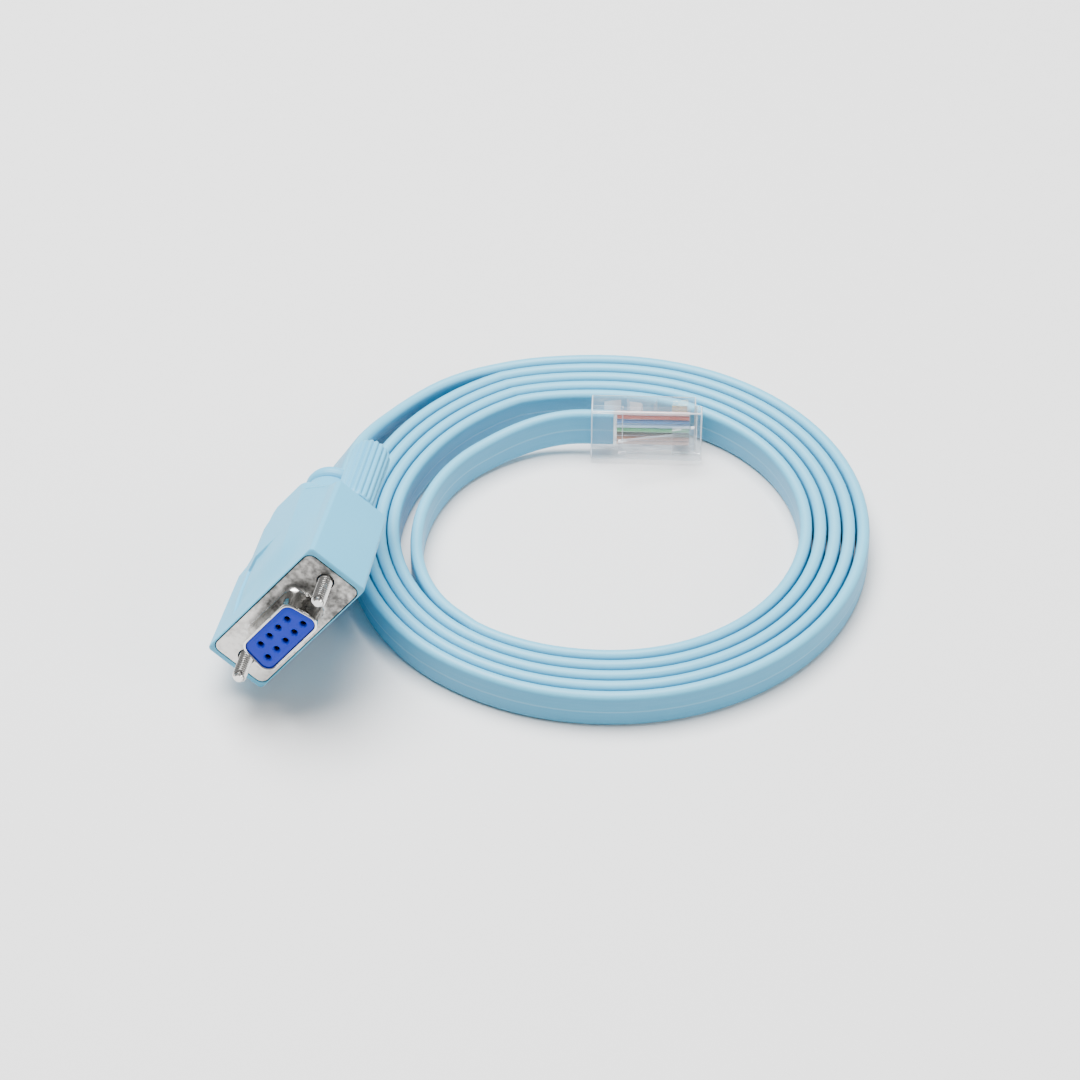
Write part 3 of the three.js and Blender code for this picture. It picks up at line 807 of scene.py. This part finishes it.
def cut_away(shape, cutters, operation="DIFFERENCE"):
    blank = scratch_object(shape, "blank")
    tools = [scratch_object(cutter, "cutter") for cutter in cutters]
    for tool in tools:
        step = blank.modifiers.new("cut", "BOOLEAN")
        step.operation = operation
        step.solver = "EXACT"
        step.object = tool
    bpy.context.view_layer.update()
    seen = blank.evaluated_get(bpy.context.evaluated_depsgraph_get())
    result = bmesh.new()
    result.from_mesh(seen.to_mesh())
    seen.to_mesh_clear()
    for spent in [blank] + tools:
        mesh = spent.data
        bpy.data.objects.remove(spent)
        bpy.data.meshes.remove(mesh)
    return result


def rounded_rectangle(width, height, corner, y, steps=6):
    outline = []
    for cx, cz, start in ((1, 1, 0), (-1, 1, 90), (-1, -1, 180), (1, -1, 270)):
        for step in range(steps + 1):
            angle = math.radians(start + 90 * step / steps)
            x = cx * (width / 2 - corner) + corner * math.cos(angle)
            z = cz * (height / 2 - corner) + corner * math.sin(angle)
            outline.append(Vector((x, y, z)))
    return outline


print("cutting tools ready")

# %% Hood piece
SCREW_PLACES = (-12.5, 12.5)


def moulded_hood():
    rows = [hood_outline(0.0, 0.35), hood_outline(0.12, 0.1)]
    rows += [hood_outline(y) for y in hood_rows[1:]]
    rows += [hood_outline(34.5, 0.5), hood_outline(34.6, 1.6)]
    body = skin(bmesh.new(), rows)
    neck = spun(bmesh.new(), NECK_PROFILE)
    cutters = [skin(bmesh.new(), [rounded_rectangle(31.2, 12.9, 1.8, y) for y in (-2.0, 1.1)])]
    cutters.append(skin(bmesh.new(), [rounded_rectangle(17.2, 8.8, 2.4, y) for y in (0.5, 4.8)]))
    for x in SCREW_PLACES:
        pocket = [(0.0, 0.5), (1.8, 0.5), (1.8, 25.3), (4.35, 25.3), (4.35, 50.0), (0.0, 50.0)]
        cutters.append(spun(bmesh.new(), pocket, 40, (x, 0.0)))
    joined = cut_away(body, [neck], "UNION")
    return become_piece(
        cut_away(joined, cutters), "moulded_hood", SOCKET_FRAME, hood_vinyl, "cable", 13.0
    )


hood_piece = moulded_hood()
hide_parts("hood")

# %% [markdown]
# The shell is drawn from thin sheet. Its D-shaped tube grows out of the flange in a soft radius and
# ends in a rolled lip. The outlines are the same D, larger or smaller all round.

# %% The D outline
SHELL_CORNER = 2.2
SHELL_SLANT = 10.0


def d_outline(offset, y, steps=8):
    corner = SHELL_CORNER + offset
    height = 4.0 - SHELL_CORNER
    wide = 8.2 - SHELL_CORNER
    narrow = wide - 2 * height * math.tan(math.radians(SHELL_SLANT))
    corners = (
        (wide, -height, -90.0, SHELL_SLANT),
        (narrow, height, SHELL_SLANT, 90.0),
        (-narrow, height, 90.0, 180.0 - SHELL_SLANT),
        (-wide, -height, 180.0 - SHELL_SLANT, 270.0),
    )
    outline = []
    for x, z, start, stop in corners:
        for step in range(steps + 1):
            angle = math.radians(start + (stop - start) * step / steps)
            outline.append(Vector((x + corner * math.cos(angle), y, z + corner * math.sin(angle))))
    return outline


print("the D has", len(d_outline(0.0, 0.0)), "points")

# %% Shell piece
def plated_shell():
    plate_rows = [(0.25, 0.0), (0.07, 0.05), (0.0, 0.2), (0.0, 0.75), (0.15, 0.9)]
    plate = skin(
        bmesh.new(),
        [rounded_rectangle(30.8 - 2 * s, 12.5 - 2 * s, 1.6 - s, y) for s, y in plate_rows],
    )
    cutters = [skin(bmesh.new(), [d_outline(-0.3, y) for y in (-1.0, 2.0)])]
    for x in SCREW_PLACES:
        cutters.append(spun(bmesh.new(), [(0.0, -1.0), (1.75, -1.0), (1.75, 2.0), (0.0, 2.0)], 32, (x, 0.0)))
    tube_rows = [
        (1.35, 0.02), (1.0, -0.06), (0.6, -0.26), (0.25, -0.62), (0.06, -1.1), (0.0, -1.7), (0.0, -5.35),
        (0.06, -5.7), (0.04, -5.92), (-0.14, -6.0), (-0.36, -5.9), (-0.42, -5.6), (-0.42, 0.5), (0.9, 0.5),
    ]
    tube = skin(bmesh.new(), [d_outline(offset, y) for offset, y in tube_rows], "joined")
    joined = cut_away(cut_away(plate, cutters), [tube], "UNION")
    ahead = joined.verts.layers.float.new("ahead")
    side = joined.verts.layers.float.new("side")
    for corner in joined.verts:
        corner[ahead] = -corner.co.y
        corner[side] = corner.co.x
    return become_piece(joined, "plated_shell", SOCKET_FRAME, shell_nickel, "cable", 40.0)


shell_piece = plated_shell()
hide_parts("dsub_shell")

# %% [markdown]
# A jackscrew's thread is a real helix. The photograph is too coarse to show its pitch, so it is the
# usual 40 threads to the inch. A zigzag with one tooth for each pitch is spun once round
# while it climbs one pitch, so each tooth runs into the next, and the seam is merged afterwards.

# %% Jackscrew piece
THREAD_PITCH = 0.635
THREAD_TURNS = 11
THREAD_START = -7.0
THREAD_CREST = 1.38
THREAD_ROOT = 0.98


def jackscrew(side, x):
    shape = bmesh.new()
    profile = []
    for turn in range(THREAD_TURNS):
        start = THREAD_START + turn * THREAD_PITCH
        profile += [(THREAD_ROOT, start), (THREAD_CREST, start + 0.25), (THREAD_CREST, start + 0.33)]
    profile.append((THREAD_ROOT, THREAD_START + THREAD_TURNS * THREAD_PITCH))
    corners = [shape.verts.new((x + radius, y, 0.0)) for radius, y in profile]
    edges = [shape.edges.new(pair) for pair in zip(corners, corners[1:])]
    steps = 32
    bmesh.ops.spin(
        shape,
        geom=corners + edges,
        cent=(x, 0.0, 0.0),
        axis=(0.0, 1.0, 0.0),
        dvec=(0.0, THREAD_PITCH / steps, 0.0),
        angle=2 * math.pi,
        steps=steps,
    )
    bmesh.ops.remove_doubles(shape, verts=shape.verts, dist=0.002)
    open_edges = [edge for edge in shape.edges if edge.is_boundary]
    bmesh.ops.holes_fill(shape, edges=open_edges)
    core = [(0.0, -7.4), (0.75, -7.4), (0.97, -7.15), (0.99, -6.6), (0.99, 0.2), (1.35, 0.6), (1.35, 30.0), (0.0, 30.0)]
    spun(shape, core, 32, (x, 0.0))
    root = shape.verts.layers.float.new("root")
    for corner in shape.verts:
        if corner.co.y > THREAD_START:
            corner[root] = THREAD_CREST - math.hypot(corner.co.x - x, corner.co.z)
    piece = become_piece(
        shape, "threaded_jackscrew_" + side, SOCKET_FRAME, screw_steel, "thumbscrew_" + side, 30.0
    )
    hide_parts("jackscrew_" + side)
    return piece


for side, x in zip(("left", "right"), SCREW_PLACES):
    jackscrew(side, x)

# %% [markdown]
# The knob is a ribbed barrel. Each outline is a circle whose points go in and out four to a rib,
# and the row of outlines closes over the end in a low dome, so the ribs fade out as they do on a
# moulded knob.

# %% Knob piece
KNOB_RIBS = 20
KNOB_RADIUS = 4.0


def rib_outline(x, radius, y, depth):
    outline = []
    for number in range(KNOB_RIBS * 8):
        angle = 2 * math.pi * number / (KNOB_RIBS * 8)
        wave = 0.5 - 0.5 * math.cos(KNOB_RIBS * angle)
        here = radius - depth * wave ** 2
        outline.append(Vector((x + here * math.cos(angle), y, here * math.sin(angle))))
    return outline


def ribbed_knob(side, x):
    shape = bmesh.new()
    rows = [
        (3.3, 25.8, 0.0), (3.6, 25.9, 0.0), (3.72, 26.2, 0.05), (3.98, 26.6, 0.42), (4.0, 27.4, 0.45),
        (4.0, 43.6, 0.45), (3.98, 44.4, 0.45), (3.86, 44.9, 0.42), (3.6, 45.3, 0.3), (3.2, 45.55, 0.12),
        (2.6, 45.7, 0.0), (1.4, 45.78, 0.0),
    ]
    skin(shape, [rib_outline(x, radius, y, depth) for radius, y, depth in rows])
    piece = become_piece(
        shape, "ribbed_knob_" + side, SOCKET_FRAME, hood_vinyl, "thumbscrew_" + side, 50.0
    )
    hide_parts("knob_" + side)
    return piece


for side, x in zip(("left", "right"), SCREW_PLACES):
    ribbed_knob(side, x)

# %% [markdown]
# The insulator is one block with nine holes. Each hole is narrow at the face, where it guides the
# pin, and wider behind, where it holds the contact.

# %% Insulator piece
PIN_PITCH = 2.77
ROW_GAP = 2.84


def insulator_block():
    rows = [(-0.75, -5.75), (-0.55, -5.68), (-0.49, -5.5), (-0.49, 4.0), (-0.6, 4.2)]
    block_shape = skin(bmesh.new(), [d_outline(offset, y) for offset, y in rows])
    bore = [(0.0, -6.5), (0.86, -6.5), (0.86, -5.74), (0.6, -5.45), (0.6, -4.95), (0.78, -4.8), (0.78, 2.8), (0.0, 2.8)]
    cutters = []
    for count, z in ((5, -ROW_GAP / 2), (4, ROW_GAP / 2)):
        for number in range(count):
            x = (number - (count - 1) / 2) * PIN_PITCH
            cutters.append(spun(bmesh.new(), bore, 24, (x, z)))
    return become_piece(
        cut_away(block_shape, cutters), "insulator_block", SOCKET_FRAME, insulator_plastic, "cable",
        30.0,
    )


insulator_piece = insulator_block()
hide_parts("dsub_insulator")

# %% [markdown]
# The contacts and the plug's wires and blades are already the right shapes in the measured model,
# so they stay and only get their finish.

# %% Finishes on the measured pieces that stay
def refinish(node, finish):
    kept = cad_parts[node]
    kept.data.materials.clear()
    kept.data.materials.append(finish)


for number in range(1, 10):
    refinish(f"socket_contact_{number}", contact_gold)
for number, finish in enumerate(wire_finishes, start=1):
    refinish(f"wire_{number}", finish)
    refinish(f"plug_contact_{number}", contact_gold)
print("kept pieces refinished")

# %% [markdown]
# The plug is one clear moulding. A block with soft edges is made first. Then the duct for the
# cable, the eight slots for the blades and the window of the wedge that grips the jacket are cut.

# %% Straight-sided blocks and prisms
def block(low, high, shape=None):
    shape = shape or bmesh.new()
    middle = (Vector(low) + Vector(high)) / 2
    size = Vector(high) - Vector(low)
    bmesh.ops.create_cube(shape, size=1.0, matrix=Matrix.Translation(middle) @ Matrix.Diagonal(size.to_4d()))
    return shape


def prism(outline, z_low, z_high):
    return skin(bmesh.new(), [[Vector((x, y, z)) for x, y in outline] for z in (z_low, z_high)])


def soften(shape, width, segments=2, sharper_than=25.0):
    edges = [edge for edge in shape.edges if edge.calc_face_angle(0.0) > math.radians(sharper_than)]
    bmesh.ops.bevel(
        shape, geom=edges, offset=width, segments=segments, profile=0.5, affect="EDGES", material=-1
    )
    return shape


print("blocks and prisms ready")

# %% Plug body piece
PLUG_SIDE = 3.3
PLUG_HALF = 5.85
WIRE_PITCH = 1.02
BLADE_LOW = 16.6
BLADE_HIGH = 19.8


def paint_rim_highlights(shape):
    # Painted highlight: slanted faces are marked as rims, which the finish makes whiter and less clear.
    shape.normal_update()
    rim = shape.faces.layers.float.new("rim")
    for face in shape.faces:
        slanted = max(abs(part) for part in face.normal) < 0.99
        face[rim] = 1.0 if slanted else 0.0


def clear_plug():
    outline = [(0, -3.3), (22.9, -3.3), (22.9, -0.1), (21.6, -0.1), (21.6, 3.3), (0, 3.3)]
    body = soften(prism(outline, -PLUG_HALF, PLUG_HALF), 0.3)
    cutters = [soften(block((-2.0, -1.55, -4.35), (6.6, 1.55, 4.35)), 0.2)]
    cutters.append(block((4.0, -0.8, -4.35), (20.6, 0.8, 4.35)))
    wedge = [(1.3, 4.0), (1.3, 1.75), (2.6, 1.75), (6.1, 2.7), (6.1, 4.0)]
    cutters.append(prism(wedge, -5.1, 5.1))
    window = [(6.9, 4.2), (7.9, 2.0), (10.2, 1.6), (10.6, 1.0), (12.9, 1.0), (13.9, 4.2)]
    cutters.append(prism(window, -5.1, 5.1))
    for number in range(8):
        z = (3.5 - number) * WIRE_PITCH
        cutters.append(block((BLADE_LOW, 0.2, z - 0.28), (BLADE_HIGH + 0.3, 4.0, z + 0.28)))
    carved = cut_away(body, cutters)
    paint_rim_highlights(carved)
    return become_piece(
        carved, "clear_plug", PLUG_FRAME, clear_plastic, "cable", 30.0
    )


plug_piece = clear_plug()
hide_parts("plug_body")

# %% [markdown]
# The latch is a springy tongue of the same plastic. It starts wide at the nose, narrows at two
# shoulders, and rises from the body towards the cable. Small outlines along its length make it.

# %% Latch piece
def latch_outline(x, y, half_width, thickness):
    edge = 0.18
    flat = [
        (-half_width + edge, 0.0), (half_width - edge, 0.0), (half_width, -edge),
        (half_width, -thickness + edge), (half_width - edge, -thickness),
        (-half_width + edge, -thickness), (-half_width, -thickness + edge), (-half_width, -edge),
    ]
    return [Vector((x, y + rise, across)) for across, rise in flat]


def clear_latch():
    rows = [
        (21.3, -3.6, 3.1, 1.0), (20.6, -3.68, 3.1, 1.1), (18.6, -4.06, 3.1, 1.1), (16.75, -4.5, 3.1, 1.1),
        (16.7, -4.52, 1.65, 1.1), (14.0, -5.15, 1.62, 1.05), (10.5, -5.95, 1.6, 1.0),
        (7.4, -6.65, 1.6, 1.0), (6.2, -6.9, 1.6, 1.05), (5.7, -7.0, 1.5, 1.0),
    ]
    shape = skin(bmesh.new(), [latch_outline(*row) for row in rows])
    # Painted highlight: the latch's small rounded rim faces are marked whiter and less clear than its flat faces.
    rim = shape.faces.layers.float.new("rim")
    for face in shape.faces:
        face[rim] = 0.9 if face.calc_area() < 0.5 else 0.15
    piece = become_piece(
        shape, "clear_latch", PLUG_FRAME, clear_plastic, "latch", 30.0
    )
    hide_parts("plug_latch")
    return piece


clear_latch()

plug_nodes = [f"wire_{number}" for number in range(1, 9)]
plug_nodes += [f"plug_contact_{number}" for number in range(1, 9)]
[tuple(COIL_FRAME @ point) for point in cable_points]

# %% [markdown]
# A white table and soft white light keep the colours of the vinyl honest. A wide lamp overhead
# gives the bright upper edges, and a dim sky fills the sides.

# %% Floor
def table_finish():
    finish = Finish("white_table")
    grain = finish.noise(3.0, 2.0)
    return finish.done({
        "Base Color": finish.blend(grain, (0.72, 0.72, 0.72, 1.0), (0.74, 0.74, 0.74, 1.0)),
        "Roughness": finish.steps(grain, 0.2, 0.8, 0.55, 0.65),
    })


ground = bmesh.new()
bmesh.ops.create_grid(ground, x_segments=2, y_segments=2, size=3.0)
floor_mesh = bpy.data.meshes.new("table_top")
ground.to_mesh(floor_mesh)
ground.free()
floor_mesh.materials.append(table_finish())
table_top = bpy.data.objects.new("table_top", floor_mesh)
bpy.context.scene.collection.objects.link(table_top)

# %% Light
sky = bpy.data.worlds.new("studio_sky")
sky.use_nodes = True
sky.node_tree.nodes["Background"].inputs["Color"].default_value = (1.0, 1.0, 1.0, 1.0)
sky.node_tree.nodes["Background"].inputs["Strength"].default_value = 0.30
bpy.context.scene.world = sky


def soft_lamp(name, place, target, size, power):
    lamp = bpy.data.lights.new(name, "AREA")
    lamp.shape = "SQUARE"
    lamp.size = size
    lamp.energy = power
    holder = bpy.data.objects.new(name, lamp)
    holder.location = place
    holder.rotation_euler = (Vector(target) - Vector(place)).to_track_quat("-Z", "Y").to_euler()
    bpy.context.scene.collection.objects.link(holder)
    return holder


soft_lamp("overhead_softbox", (-0.15, 0.25, 1.1), (0.0, 0.0, 0.0), 0.9, 52.0)
soft_lamp("side_softbox", (0.9, -0.5, 0.6), (0.0, 0.0, 0.0), 0.5, 6.0)
print("lights set")
